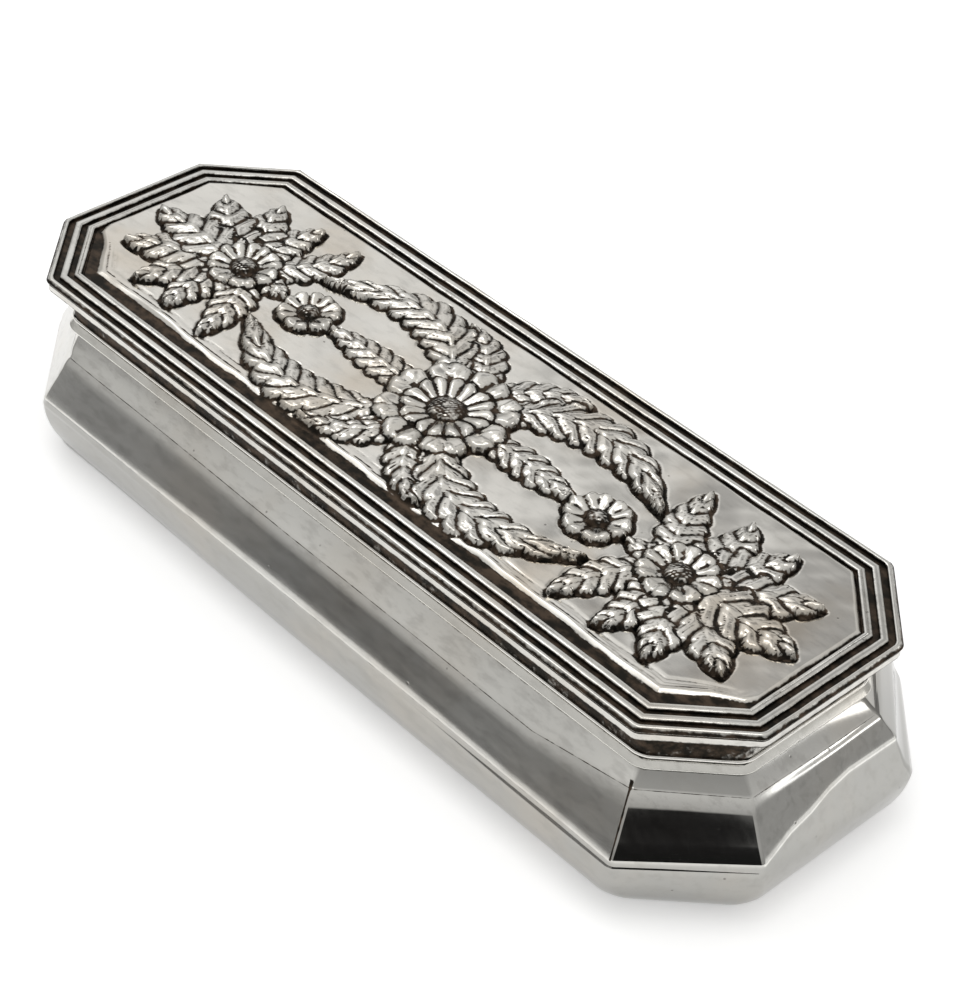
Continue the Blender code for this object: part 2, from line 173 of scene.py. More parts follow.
def ripple(x, y, size, seed):
    """Smooth irregular wave between about -1 and 1, with bumps of a given size."""
    angles = np.random.default_rng(seed).uniform(0, 2 * math.pi, (7, 2))
    total = 0
    for turn, phase in angles:
        along = x * math.cos(turn) + y * math.sin(turn)
        total = total + np.sin(along * 2 * math.pi / size * (0.7 + 0.1 * turn) + phase)
    return total / 3.5


def eased(values, marks, levels):
    """Values that ease from level to level as they pass the marks."""
    marks, levels = np.array(marks, float), np.array(levels, float)
    index = np.clip(np.searchsorted(marks, values) - 1, 0, len(marks) - 2)
    t = np.clip((values - marks[index]) / (marks[index + 1] - marks[index]), 0, 1)[:, None]
    t = t * t * (3 - 2 * t)
    return levels[index] * (1 - t) + levels[index + 1] * t


spots = np.empty(len(body_wall.data.vertices) * 3)
body_wall.data.vertices.foreach_get("co", spots)
spots = spots.reshape(-1, 3) / mm
facing = np.empty_like(spots).ravel()
body_wall.data.vertex_normals.foreach_get("vector", facing)
facing = facing.reshape(-1, 3)
level = spots[:, 2]
diagonal = 2 * np.abs(facing[:, 0] * facing[:, 1]) / np.maximum((facing[:, :2] ** 2).sum(axis=1), 0.01)
long_side = np.abs(facing[:, 1]) > 0.9 * np.hypot(facing[:, 0], facing[:, 1])
seam_line = (np.abs(diagonal - 0.45) < 0.2) & (spots[:, 0] > 0) & (spots[:, 1] < -24.7) & (np.abs(level - 18.6) < 4.7)
# Tarnish at the foot, at the neck under the rim wire and along the seam, and a thin dark line along the crease. The
# thin dark line at the shoulder, on the long sides only, is painted shade.
tarnish_and_painted_shade = np.interp(level, (0.0, 4.0, 8.0, 22.3, 22.42, 22.5, 22.58, 24.9, 25.3, 27.6),
                      (0.4, 0.15, 0.0, 0.0, 0.0, 0.7, 0.0, 0.0, 0.8, 0.8))
tarnish_and_painted_shade += 0.42 * long_side * np.interp(level, (13.58, 13.7, 13.82), (0, 1, 0))
tarnish_and_painted_shade = np.maximum(tarnish_and_painted_shade, 0.95 * seam_line)
burnished = np.clip((diagonal - 0.3) / 0.5, 0, 1)
# Painted highlight: a thin band at the shoulder, between 13.75 and 14.1 mm, gets a lighter silver, most of all on the
# ends.
painted_shoulder_highlight = np.where(long_side, 0.37, 0.17 + 0.37 * burnished)
# Painted shade: the silver darkens towards the foot and over the lower belly, standing in for the darker floor that
# the lower wall reflects. The far chamfers get the darkest silver, and above the crease the coves of the chamfers and
# ends are darker than on the long sides.
painted_shade_amount = np.interp(level, (3.0, 9.0, 13.3, 13.58, 14.45, 14.8, 21.0, 22.4),
                   (1.0, 0.83, 0.83, 0.74, 0.5, 0.51, 0.51, 0.41))
painted_shade_amount = np.where((level > 13.75) & (level < 14.1), painted_shoulder_highlight, painted_shade_amount)
far_chamfer = (burnished > 0.5) & (facing[:, 1] > 0)
painted_shade_amount = np.where(far_chamfer, 1.0, painted_shade_amount)
waist = np.interp(level, (22.45, 22.7), (0, 1))
painted_shade_amount += waist * (np.where(long_side, 0.25, 0.6) + np.where(facing[:, 0] > 0, 0.35, 0.1) * burnished - painted_shade_amount)
mark(body_wall, "tarnish_and_shade", tarnish_and_painted_shade)
mark(body_wall, "painted_light_and_shade", painted_shade_amount)
mark(body_wall, "burnish", burnished)
half_length, half_width = 85.3, 25.7
round_the_wall = np.degrees(np.arctan2(spots[:, 1] / half_width, spots[:, 0] / half_length))
# How far the hand-raised wall strays from true, in millimetres, at angles round it. Each row moves the
# crease, the shoulder and the belly in x, y and z.
hand_raised = {
    -180: (0, 0, 0, 0, 0, 0, 0, 0, 0), -149: (0, 2.4, -0.8, 0, 2.4, -0.5, 0, 2.4, 0),
    -124: (3.2, 0.3, -0.9, 3.4, 0.4, -0.5, 2.5, 1.5, 0), -90: (0, -0.5, -0.9, 0, 0, 0, 0, 0.2, 0),
    -76: (0, -0.5, -1.1, 0, 0, -0.2, 0, 0, 0), -60: (0, -0.4, -1.6, 0, 0, -0.8, 0, 0, 0),
    -52: (-0.35, 0.8, 0.65, 0.3, -0.3, -1.0, 0, 0, 0), -31: (-0.55, 0.35, 0.5, 0.4, 0.4, -0.1, 0, 0, 0),
    -25: (-0.55, 0.2, 0.4, -0.2, 0.2, 1.1, 0, 0, 0), -16: (-0.5, 0, 0.3, -0.9, 0, 2.2, 0, 0, 0),
    9: (-0.4, 0, 0.3, -2.2, 0, 4.3, 0, 0, 0), 31: (-0.7, -0.6, -0.1, -2.3, -0.5, 3.9, 0, 1.3, 0),
    52: (0, 0, 0, -1.0, 0, 2.0, 1.3, 0, 0), 90: (0, 0, 0, 0, 0, 0, 0, 0, 0), 180: (0, 0, 0, 0, 0, 0, 0, 0, 0)}
strays = eased(round_the_wall, list(hand_raised), list(hand_raised.values()))
spots += strays[:, 0:3] * np.interp(level, (14.2, 22.5, 25.3), (0, 1, 0))[:, None]
spots += strays[:, 3:6] * np.interp(level, (11, 13.3, 14.3, 22.5), (0, 1, 1, 0))[:, None]
spots += strays[:, 6:9] * np.interp(level, (0, 3, 11, 13.3), (0, 1, 1, 0))[:, None]
belly_overhang = 9.0
for axis, reach in ((0, half_length + belly_overhang), (1, half_width + belly_overhang)):
    spots[:, axis] = np.clip(spots[:, axis], -reach, reach)
body_wall.data.vertices.foreach_set("co", (spots * mm).ravel())
wall_thickness = body_wall.modifiers.new("wall", 'SOLIDIFY')
wall_thickness.thickness = 0.9 * mm
wall_thickness.offset = -1
wall_thickness.use_even_offset = True
bpy.ops.object.modifier_apply(modifier="wall")
bpy.ops.object.mode_set(mode='EDIT')
bpy.ops.mesh.select_all(action='SELECT')
smallest_step = 0.003 * mm
bpy.ops.mesh.remove_doubles(threshold=smallest_step)
settle(body_wall, "body")
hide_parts("body_shell")


def link(tree, *chain):
    """Join sockets in pairs."""
    for start, end in zip(chain[::2], chain[1::2]):
        tree.links.new(start, end)


def silver_wear_group():
    """Hand-polished silver: soft stains, fine scratches, pits, and tarnish where a mask asks for it; on some pieces
    that mask also carries painted shade.
    """
    tree = bpy.data.node_groups.new("Silver wear and shade", 'ShaderNodeTree')
    for name, kind, value in (
            ("Silver", 'NodeSocketColor', (0.66, 0.65, 0.61, 1)), ("Tarnish and shade", 'NodeSocketFloat', 0.0),
            ("Stain", 'NodeSocketFloat', 0.3), ("Mottle", 'NodeSocketFloat', 0.2),
            ("Polish", 'NodeSocketFloat', 0.14), ("Waviness", 'NodeSocketFloat', 0.02),
            ("Scratches", 'NodeSocketFloat', 0.002), ("Pits", 'NodeSocketFloat', 0.3)):
        socket = tree.interface.new_socket(name=name, in_out='INPUT', socket_type=kind)
        socket.default_value = value
    for name, kind in (("Color", 'NodeSocketColor'), ("Roughness", 'NodeSocketFloat'), ("Height", 'NodeSocketFloat')):
        tree.interface.new_socket(name=name, in_out='OUTPUT', socket_type=kind)
    new = tree.nodes.new
    given = new('NodeGroupInput')
    result = new('NodeGroupOutput')
    place = new('ShaderNodeTexCoord').outputs['Object']

    def noise(scale, detail, stretch=(1, 1, 1), roughness=0.5):
        mapping = new('ShaderNodeMapping')
        mapping.inputs['Scale'].default_value = stretch
        texture = new('ShaderNodeTexNoise')
        texture.inputs['Scale'].default_value = scale
        texture.inputs['Detail'].default_value = detail
        texture.inputs['Roughness'].default_value = roughness
        link(tree, place, mapping.inputs['Vector'], mapping.outputs['Vector'], texture.inputs['Vector'])
        return texture.outputs['Fac']

    def maths(operation, first, second=None, third=None):
        node = new('ShaderNodeMath')
        node.operation = operation
        for index, value in enumerate((first, second, third)):
            if isinstance(value, (int, float)):
                node.inputs[index].default_value = value
            elif value is not None:
                link(tree, value, node.inputs[index])
        return node.outputs[0]

    def spread(value, low, high, to_low=0.0, to_high=1.0):
        node = new('ShaderNodeMapRange')
        node.interpolation_type = 'SMOOTHSTEP'
        for key, number in (('From Min', low), ('From Max', high), ('To Min', to_low), ('To Max', to_high)):
            node.inputs[key].default_value = number
        link(tree, value, node.inputs['Value'])
        return node.outputs['Result']

    def blend(factor, first, second):
        node = new('ShaderNodeMix')
        node.data_type = 'RGBA'
        link(tree, factor, node.inputs['Factor'])
        for key, value in ((6, first), (7, second)):
            if isinstance(value, tuple):
                node.inputs[key].default_value = value
            else:
                link(tree, value, node.inputs[key])
        return node.outputs[2]

    grain = noise(1500, 3)
    cloud = noise(45, 4)
    patch = noise(520, 5, (0.6, 1, 1), 0.6)
    settled = maths('MULTIPLY', given.outputs['Tarnish and shade'], spread(noise(380, 3), 0.35, 0.65, 0.85, 1.35))
    edge_of_tarnish = maths('ADD', settled, maths('MULTIPLY', maths('SUBTRACT', grain, 0.5), 0.6))
    tarnish_and_painted_shade = spread(edge_of_tarnish, 0.25, 0.75)
    stained = maths('MULTIPLY', spread(cloud, 0.42, 0.72), given.outputs['Stain'])
    brown_stain = (0.53, 0.455, 0.36, 1)
    black_tarnish, brown_tarnish = (0.018, 0.016, 0.013, 1), (0.08, 0.058, 0.042, 1)
    warm = blend(stained, given.outputs['Silver'], brown_stain)
    black = blend(spread(patch, 0.38, 0.68), black_tarnish, brown_tarnish)
    pit_cells = new('ShaderNodeTexVoronoi')
    pit_cells.inputs['Scale'].default_value = 520
    link(tree, place, pit_cells.inputs['Vector'])
    few = new('ShaderNodeSeparateColor')
    link(tree, pit_cells.outputs['Color'], few.inputs['Color'])
    pitted = maths('MULTIPLY', spread(pit_cells.outputs['Distance'], 0.16, 0.06),
                   spread(few.outputs['Red'], 0.93, 0.95))
    pitted = maths('MULTIPLY', pitted, given.outputs['Pits'])
    mottled = maths('MULTIPLY', spread(noise(560, 4, (0.4, 1, 1), 0.6), 0.45, 0.70), given.outputs['Mottle'])
    grey_mottle, dark_pit = (0.30, 0.29, 0.27, 1), (0.06, 0.05, 0.045, 1)
    worked = blend(mottled, warm, grey_mottle)
    colour = blend(pitted, blend(tarnish_and_painted_shade, worked, black), dark_pit)
    fine = noise(260, 5, (0.25, 6, 1.5), 0.65)
    crossing = noise(300, 4, (3, 0.5, 4), 0.6)
    rough = maths('ADD', given.outputs['Polish'], maths('MULTIPLY', maths('SUBTRACT', fine, 0.5), 0.06))
    rough = maths('ADD', rough, maths('MULTIPLY', tarnish_and_painted_shade, 0.35))
    link(tree, colour, result.inputs['Color'], maths('MAXIMUM', rough, 0.05), result.inputs['Roughness'])
    height = maths('MULTIPLY', noise(70, 2), given.outputs['Waviness'])
    lines = maths('MULTIPLY', maths('ADD', fine, crossing), given.outputs['Scratches'])
    height = maths('SUBTRACT', maths('ADD', height, lines), maths('MULTIPLY', pitted, 0.02))
    link(tree, height, result.inputs['Height'])
    return tree


silver_wear = silver_wear_group()


def silver_material(piece, silver=(0.66, 0.65, 0.61, 1), **wear):
    """Give a piece its own worn silver and return the material's tree and its wear node."""
    material = bpy.data.materials.new(piece.name + "_silver")
    material.use_nodes = True
    tree = material.node_tree
    shader = tree.nodes['Principled BSDF']
    shader.inputs['Metallic'].default_value = 1.0
    worn = tree.nodes.new('ShaderNodeGroup')
    worn.node_tree = silver_wear
    worn.inputs['Silver'].default_value = silver
    for key, value in wear.items():
        worn.inputs[key].default_value = value
    bump = tree.nodes.new('ShaderNodeBump')
    bump.inputs['Strength'].default_value = 1.0
    bump.inputs['Distance'].default_value = mm
    link(tree, worn.outputs['Color'], shader.inputs['Base Color'],
         worn.outputs['Roughness'], shader.inputs['Roughness'],
         worn.outputs['Height'], bump.inputs['Height'],
         bump.outputs['Normal'], shader.inputs['Normal'])
    if not piece.material_slots:
        piece.data.materials.append(material)
    for held in piece.material_slots:
        held.material = material
    return tree, worn


def tarnish_by_height(tree, worn, stops, right_end_share=1.0):
    """Tarnish a piece by bands of height, from stops of (height, tarnish), with less on its right-hand end, where
    light falls; on the apron and the rim wire the bands are partly painted shade.
    """
    place = tree.nodes.new('ShaderNodeTexCoord')
    apart = tree.nodes.new('ShaderNodeSeparateXYZ')
    band = tree.nodes.new('ShaderNodeMapRange')
    ramp = tree.nodes.new('ShaderNodeValToRGB')
    low, high = stops[0][0], stops[-1][0]
    band.inputs['From Min'].default_value = low
    band.inputs['From Max'].default_value = high
    points = ramp.color_ramp.elements
    while len(points) < len(stops):
        points.new(0.5)
    for point, (height, amount) in zip(points, stops):
        point.position = (height - low) / (high - low)
        point.color = (amount, amount, amount, 1)
    link(tree, place.outputs['Object'], apart.inputs['Vector'], apart.outputs['Z'], band.inputs['Value'],
         band.outputs['Result'], ramp.inputs['Fac'])
    lighter_right_end = tree.nodes.new('ShaderNodeMapRange')
    lighter_right_end.inputs['From Min'].default_value = 84 * mm
    lighter_right_end.inputs['From Max'].default_value = 87 * mm
    lighter_right_end.inputs['To Min'].default_value = 1.0
    lighter_right_end.inputs['To Max'].default_value = right_end_share
    share = tree.nodes.new('ShaderNodeMath')
    share.operation = 'MULTIPLY'
    link(tree, apart.outputs['X'], lighter_right_end.inputs['Value'], lighter_right_end.outputs['Result'], share.inputs[0],
         ramp.outputs['Color'], share.inputs[1], share.outputs[0], worn.inputs['Tarnish and shade'])


def as_marked(tree, name):
    """Read a value that is kept on the sheet."""
    marked = tree.nodes.new('ShaderNodeAttribute')
    marked.attribute_name = name
    return marked.outputs['Fac']


wall_tree, wall_wear = silver_material(body_wall, Stain=0.25, Mottle=0.3, Waviness=0.03, Scratches=0.0001, Pits=0.5)
# Lit and shaded copies of the silver, mixed by height and facing: painted shade and a painted highlight on the wall.
lit_silver_paint, shaded_silver_paint = (0.87, 0.86, 0.82, 1), (0.30, 0.297, 0.283, 1)
painted_light_mix = wall_tree.nodes.new('ShaderNodeMix')
painted_light_mix.data_type = 'RGBA'
painted_light_mix.inputs[6].default_value = lit_silver_paint
painted_light_mix.inputs[7].default_value = shaded_silver_paint
rubbed = wall_tree.nodes.new('ShaderNodeMapRange')
rubbed.inputs['To Min'].default_value = 0.13
rubbed.inputs['To Max'].default_value = 0.06
link(wall_tree, as_marked(wall_tree, "tarnish_and_shade"), wall_wear.inputs['Tarnish and shade'],
     as_marked(wall_tree, "painted_light_and_shade"), painted_light_mix.inputs['Factor'], painted_light_mix.outputs[2], wall_wear.inputs['Silver'],
     as_marked(wall_tree, "burnish"), rubbed.inputs['Value'], rubbed.outputs['Result'], wall_wear.inputs['Polish'])

# Base plate.
# A flat sheet of silver let into the turned-in foot and soldered round its edge.
base_sheet = octagon_plate("base_sheet", -3.7 * mm, 0)
bpy.ops.mesh.extrude_region_move(TRANSFORM_OT_translate={"value": (0, 0, 0.8 * mm)})
bpy.ops.mesh.inset(thickness=0.2 * mm, depth=0.2 * mm, use_even_offset=True)
round_arrises(base_sheet, lambda place: 8.0 * mm, 8.0 * mm)
settle(base_sheet, "body")
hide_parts("base_plate")
silver_material(base_sheet, (0.62, 0.60, 0.56, 1), Stain=0.6, Polish=0.26, Waviness=0.04, Scratches=0.006, Pits=0.8)

# Rim wire.
# A half-round wire drawn through a plate, bent round the mouth and soldered to the neck.
rim_wire = octagon_plate("rim_wire", 1.1 * mm, 26.35 * mm)
bpy.ops.mesh.extrude_region_move(TRANSFORM_OT_translate={"value": (0, 0, 0.05 * mm)})
draw_in([(out * mm, up * mm) for out, up in (
    (1.1, 26.4), (1.085, 26.46), (1.06, 26.5), (1.04, 26.52), (0.62, 26.95), (0.3, 27.24), (0.12, 27.4), (0.0, 27.44),
    (-0.1, 27.45))])


def pierce(piece, top, bottom, wall):
    """Open a plate from above and below and join the two openings with an inner wall."""
    for height, facing in ((top, 1), (bottom, -1)):
        select_faces(piece, lambda centre, normal: normal.z * facing > 0.99 and abs(centre.z - height) < 0.02 * mm
                     and centre.xy.length < 1 * mm)
        if wall:
            bpy.ops.mesh.inset(thickness=wall, depth=0, use_even_offset=True)
        bpy.ops.mesh.delete(type='FACE')
    bpy.ops.mesh.select_mode(type='EDGE')
    bpy.ops.mesh.select_all(action='DESELECT')
    bpy.ops.mesh.select_non_manifold()
    bpy.ops.mesh.bridge_edge_loops()


select_faces(rim_wire, lambda centre, normal: normal.z < -0.9)
draw_in(arc((-0.1, 26.35), (1.2, 0.7), 0, -90, 6), -1)
pierce(rim_wire, 27.45 * mm, 25.65 * mm, 0)
round_arrises(rim_wire, lambda place: 4.0 * mm, 4.0 * mm)
settle(rim_wire, "body", 40)
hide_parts("body_rim_bead")
wire_tree, wire_wear = silver_material(rim_wire, (0.70, 0.69, 0.65, 1), Stain=0.3, Polish=0.22, Waviness=0.015,
                                       Pits=0.5)
# Dark bands under the wire and at its inner top edge by the seam, partly tarnish and partly painted shade, lighter on
# the right-hand end where light falls.
tarnish_by_height(wire_tree, wire_wear, [
    (25.6 * mm, 0.6), (25.75 * mm, 0.15), (25.9 * mm, 0.0), (27.37 * mm, 0.0), (27.42 * mm, 0.5),
    (27.45 * mm, 0.9)], right_end_share=0.3)

# Bezel.
# A thin strip soldered inside the mouth, which stands up a little and keeps the closed lid in its place.
bezel = octagon_plate("bezel", -1.5 * mm, 23.6 * mm)
bpy.ops.mesh.extrude_region_move(TRANSFORM_OT_translate={"value": (0, 0, 5.4 * mm)})
draw_in([(-1.5 * mm, 29.0 * mm), (-1.65 * mm, 29.2 * mm)])
pierce(bezel, 29.2 * mm, 23.6 * mm, 0.4 * mm)
round_arrises(bezel, lambda place: 3.7 * mm, 3.7 * mm)
settle(bezel, "body")
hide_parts("body_bezel")
silver_material(bezel, (0.66, 0.63, 0.58, 1), Stain=0.5, Polish=0.2, Scratches=0.004)

# Lid apron.
# A hollow-moulded strip soldered under the cover. It draws the lid in to the mouth.
apron = octagon_plate("apron", 3.1 * mm, 35.3 * mm)
bpy.ops.mesh.extrude_region_move(TRANSFORM_OT_translate={"value": (0, 0, 0.9 * mm)})
select_faces(apron, lambda centre, normal: normal.z < -0.9)
draw_in(sweep((3.1, 35.3), (0.0, 35.3), (0.0, 30.6), 12) + [(0.0, 28.3 * mm)], -1)
bpy.ops.mesh.inset(thickness=0.7 * mm, depth=0, use_even_offset=True)
draw_in([(-0.7 * mm, 28.3 * mm), (-0.7 * mm, 32.0 * mm)], -1)
pierce(apron, 36.2 * mm, 32.0 * mm, 2.6 * mm)
round_arrises(apron, lambda place: (4.0 - 2.8 * max(place.z - seam_height, 0) / (8.9 * mm)) * mm, 4.0 * mm)
settle(apron, "lid")
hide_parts("lid_apron")
apron_tree, apron_wear = silver_material(apron, Stain=0.4, Polish=0.2, Waviness=0.03, Scratches=0.003, Pits=0.3)
# The cavetto is darkened all over, partly patina and partly painted shade under the roll, and most of it is lifted on
# the right-hand end, where light falls.
tarnish_by_height(apron_tree, apron_wear, [
    (28.3 * mm, 0.8), (28.6 * mm, 0.7), (29.6 * mm, 0.8), (31.5 * mm, 0.9), (34.9 * mm, 0.95),
    (36.2 * mm, 1.0)], right_end_share=0.15)

lip_wire = octagon_plate("lip_wire", 0.5 * mm, 28.2 * mm)
bpy.ops.mesh.extrude_region_move(TRANSFORM_OT_translate={"value": (0, 0, 0.05 * mm)})
draw_in(arc((0.1, 28.25), (0.4, 0.35), 0, 90, 5))
select_faces(lip_wire, lambda centre, normal: normal.z < -0.9)
draw_in(arc((0.1, 28.2), (0.4, 0.35), 0, -90, 5), -1)
pierce(lip_wire, 28.6 * mm, 27.85 * mm, 0.8 * mm)
round_arrises(lip_wire, lambda place: 4.0 * mm, 4.0 * mm)
settle(lip_wire, "lid", 40)
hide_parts("lid_apron")
silver_material(lip_wire, (0.76, 0.745, 0.71, 1), Stain=0.3, Polish=0.12, Waviness=0.015)

# Lid border.
# The edge of the stamped cover: a heavy roll that turns down into a short fascia, then two narrow reeds
# between dark grooves. The strips of the moulding meet in sharp mitres at the eight corners.
border = octagon_plate("border", 4.4 * mm, 37.35 * mm)
bpy.ops.mesh.extrude_region_move(TRANSFORM_OT_translate={"value": (0, 0, 0.05 * mm)})
groove_floor = 37.3
roll = [(4.37, 37.42), (4.3, 37.52), (4.02, 37.8), (3.97, 37.8), (3.92, 37.88), (3.75, 37.97), (3.5, 38.0),
        (3.3, 37.92), (3.2, 37.72), (3.17, groove_floor)]
half_reed = [(0.7, groove_floor), (0.69, 37.5), (0.66, 37.72), (0.6, 37.83), (0.5, 37.89), (0.25, 37.94)]
scored = [(0.12, 37.94), (0.05, 37.85), (-0.05, 37.85), (-0.12, 37.94)]
far_half = [(-out, up) for out, up in reversed(half_reed)]
top_run = roll
for reed_place, reed in ((1.35, half_reed + far_half), (-1.1, half_reed + scored + far_half)):
    top_run = top_run + [(reed_place + out, up) for out, up in reed]
top_run.append((-2.1, groove_floor))
draw_in([(4.4 * mm, 37.4 * mm)] + [(out * mm, up * mm) for out, up in top_run])
select_faces(border, lambda centre, normal: normal.z < -0.9)
draw_in([(4.4 * mm, 37.35 * mm), (4.3 * mm, 37.12 * mm), (4.12 * mm, 36.98 * mm), (4.12 * mm, 35.6 * mm),
         (4.05 * mm, 35.4 * mm), (3.9 * mm, 35.3 * mm), (3.5 * mm, 35.3 * mm), (3.5 * mm, 36.6 * mm),
         (-1.5 * mm, 36.6 * mm)], -1)
pierce(border, groove_floor * mm, 36.6 * mm, 0.1 * mm)


def border_radius(place):
    """Corner radius of the border: the roll is rounded, the reeds meet in sharp mitres."""
    side_x, side_y = abs(place.x), abs(place.y)
    overhang = max(side_x - mouth_length / 2, side_y - mouth_width / 2,
                   (side_x + side_y - (mouth_length + mouth_width) / 2 + mouth_corner_leg) / math.sqrt(2))
    return 1.6 * mm if overhang > 3.1 * mm else 0


round_arrises(border, border_radius, 1.6 * mm, 4)
bpy.ops.object.mode_set(mode='EDIT')
for along, places_cut in ((Vector((1, 0, 0)), range(-70, 71, 4)), (Vector((0, 1, 0)), range(-12, 13, 4))):
    for cut in places_cut:
        bpy.ops.mesh.select_all(action='SELECT')
        bpy.ops.mesh.bisect(plane_co=along * cut * mm, plane_no=along)
bpy.ops.object.mode_set(mode='OBJECT')
bpy.ops.object.transform_apply(location=True)
spots = np.empty(len(border.data.vertices) * 3)
border.data.vertices.foreach_get("co", spots)
spots = spots.reshape(-1, 3) / mm
reed_spacing = 2.45
moulding = np.round(np.maximum(np.maximum(np.abs(spots[:, 0]) - half_length, np.abs(spots[:, 1]) - half_width), (
    np.abs(spots[:, 0]) + np.abs(spots[:, 1]) - 99.4) / 1.4142) / reed_spacing)
on_top = (spots[:, 2] > 37.35)[:, None]
stray = np.stack([ripple(spots[:, 0] + 37 * moulding, spots[:, 1], 11, seed) for seed in (31, 32, 33)], axis=1)
spots += on_top * stray * np.array([0.05, 0.05, 0.03])
border.data.vertices.foreach_set("co", (spots * mm).ravel())
settle(border, "lid", 32)
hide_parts("lid_cover")
border_tree, border_wear = silver_material(border, (0.66, 0.65, 0.615, 1), Stain=0.4, Mottle=0.3, Polish=0.17,
                                           Waviness=0.02, Scratches=0.003, Pits=0.6)
tarnish_by_height(border_tree, border_wear, [
    (35.2 * mm, 0.7), (35.55 * mm, 0.5), (35.85 * mm, 0.05), (36.63 * mm, 0.08), (36.72 * mm, 0.8), (37.0 * mm, 0.9),
    (37.1 * mm, 0.5), (37.2 * mm, 0.1), (37.28 * mm, 1.0), (37.5 * mm, 0.95), (37.8 * mm, 0.45), (37.93 * mm, 0.2)])

# Lid panel.
# The middle of the cover, raised from behind and chased from in front with open flowers and curling
# leaves. The hollows are left dark and the high places are polished bright. Its back follows the relief.
panel_edge = -1.95
half_x = half_length + panel_edge
half_y = half_width + panel_edge
panel_leg = 11.6 + panel_edge * (2 - math.sqrt(2))
sheet_thickness = 0.55
cells_x, cells_y = 522, 147
back_step = 3
bpy.ops.object.select_all(action='DESELECT')
bpy.ops.mesh.primitive_grid_add(x_subdivisions=cells_x, y_subdivisions=cells_y, size=1)
panel = bpy.context.object
panel.name = panel.data.name = "relief_panel"
bpy.ops.object.mode_set(mode='EDIT')
bpy.ops.transform.resize(value=(2 * half_x * mm, 2 * half_y * mm, 1))
bpy.ops.object.mode_set(mode='OBJECT')
places = np.empty(len(panel.data.vertices) * 3)
panel.data.vertices.foreach_get("co", places)
places = places.reshape(-1, 3)
sheet_x = places[:, 0].reshape(cells_y + 1, cells_x + 1) / mm
sheet_y = places[:, 1].reshape(cells_y + 1, cells_x + 1) / mm


def step_up(value, low, high):
    """Smooth step from 0 to 1."""
    t = np.clip((value - low) / (high - low), 0, 1)
    return t * t * (3 - 2 * t)


class Relief:
    """The raised sheet while it is worked: its height above the ground and its tarnish."""

    def __init__(self, x, y):
        self.x, self.y = x, y
        self.height = np.zeros_like(x)
        self.dark = np.zeros_like(x)

    def lay(self, gap, height, dark, keep=0.3, outline=0.55):
        """Lay one form over what is there. gap is the distance outside its edge."""
        inside = step_up(-gap, -0.05, 0.28)
        ring = np.exp(-((gap - 0.22) / outline * 1.9) ** 2) * (gap > -0.1)
        self.height -= 0.22 * ring
        self.dark = np.maximum(self.dark, ring * 1.15)
        self.height = self.height * (1 - inside) + inside * (height + keep * np.maximum(self.height, 0))
        self.dark = self.dark * (1 - inside) + inside * dark


def along_spine(x, y, points, samples=70):
    """Place on a curve (0 to 1), signed distance from it, and its length, for every place of the sheet."""
    t = np.linspace(0, 1, samples)[:, None]
    p = np.array(points, float)
    if len(p) == 3:
        spine = (1 - t) ** 2 * p[0] + 2 * t * (1 - t) * p[1] + t * t * p[2]
    else:
        spine = (1 - t) ** 3 * p[0] + 3 * t * (1 - t) ** 2 * p[1] + 3 * t * t * (1 - t) * p[2] + t ** 3 * p[3]
    run = np.gradient(spine, axis=0)
    length = np.linalg.norm(np.diff(spine, axis=0), axis=1).sum()
    run /= np.linalg.norm(run, axis=1)[:, None]
    far = (x[..., None] - spine[:, 0]) ** 2 + (y[..., None] - spine[:, 1]) ** 2
    near = far.argmin(axis=-1)
    dx = x - spine[near, 0]
    dy = y - spine[near, 1]
    ahead = dx * run[near, 0] + dy * run[near, 1]
    side = -dx * run[near, 1] + dy * run[near, 0]
    place = near / (samples - 1) + ahead / length
    return place, side, length


def leaf(relief, points, width, lobes, height, keep=0.3, slant=0.14, curl=0.35):
    """Chase one acanthus leaf with a midrib, slanting veins and lobed edges."""
    reach = np.array(points)
    near = ((relief.x > reach[:, 0].min() - width * 1.3) & (relief.x < reach[:, 0].max() + width * 1.3)
            & (relief.y > reach[:, 1].min() - width * 1.3) & (relief.y < reach[:, 1].max() + width * 1.3))
    x, y = relief.x[near], relief.y[near]
    place, side, length = along_spine(x, y, points)
    t = np.clip(place, 0, 1)
    body = width * (np.sin(math.pi * np.clip(t, 0, 1) ** 0.75) ** 0.8 * 0.95 + 0.06)
    cut = np.abs(np.sin(math.pi * lobes * (t - slant))) ** 0.5
    half = body * (0.66 + 0.34 * cut * (t < 0.97))
    across = np.abs(side) / np.maximum(half, 0.05)
    gap = np.where((place < 0) | (place > 1), np.hypot(side, np.where(place < 0, place, place - 1) * length), 0)
    gap = np.where((place < 0) | (place > 1), gap, (across - 1) * half)
    vein = lobes * (t - slant * across)
    lobe = np.abs(np.sin(math.pi * vein))
    fine = np.abs(np.sin(math.pi * vein * 3))
    dome = np.sqrt(np.clip(1 - across ** 2.4, 0, 1))
    rise = height * (0.75 + curl * t ** 2)
    form = rise * (0.42 + 0.58 * dome) * (0.58 + 0.42 * lobe ** 0.7)
    form -= 0.14 * (1 - fine) ** 2 * step_up(across, 0.1, 0.3)
    rib = np.exp(-(side / (0.16 * width + 0.25)) ** 2)
    form += rib * 0.20 * height * (1 - t)
    form -= 0.16 * np.exp(-((np.abs(side) - 0.45 - 0.05 * width) / 0.18) ** 2)
    dark = 1.0 * (1 - lobe) ** 2.4 * step_up(across, 0.05, 0.25)
    dark = np.maximum(dark, 0.6 * np.exp(-((np.abs(side) - 0.45 - 0.05 * width) / 0.16) ** 2) * (t < 0.93))
    dark = np.maximum(dark, 0.8 * (1 - fine) ** 3 * step_up(across, 0.15, 0.4))
    part = Relief(x, y)
    part.height, part.dark = relief.height[near], relief.dark[near]
    part.lay(gap, form, dark, keep)
    relief.height[near], relief.dark[near] = part.height, part.dark


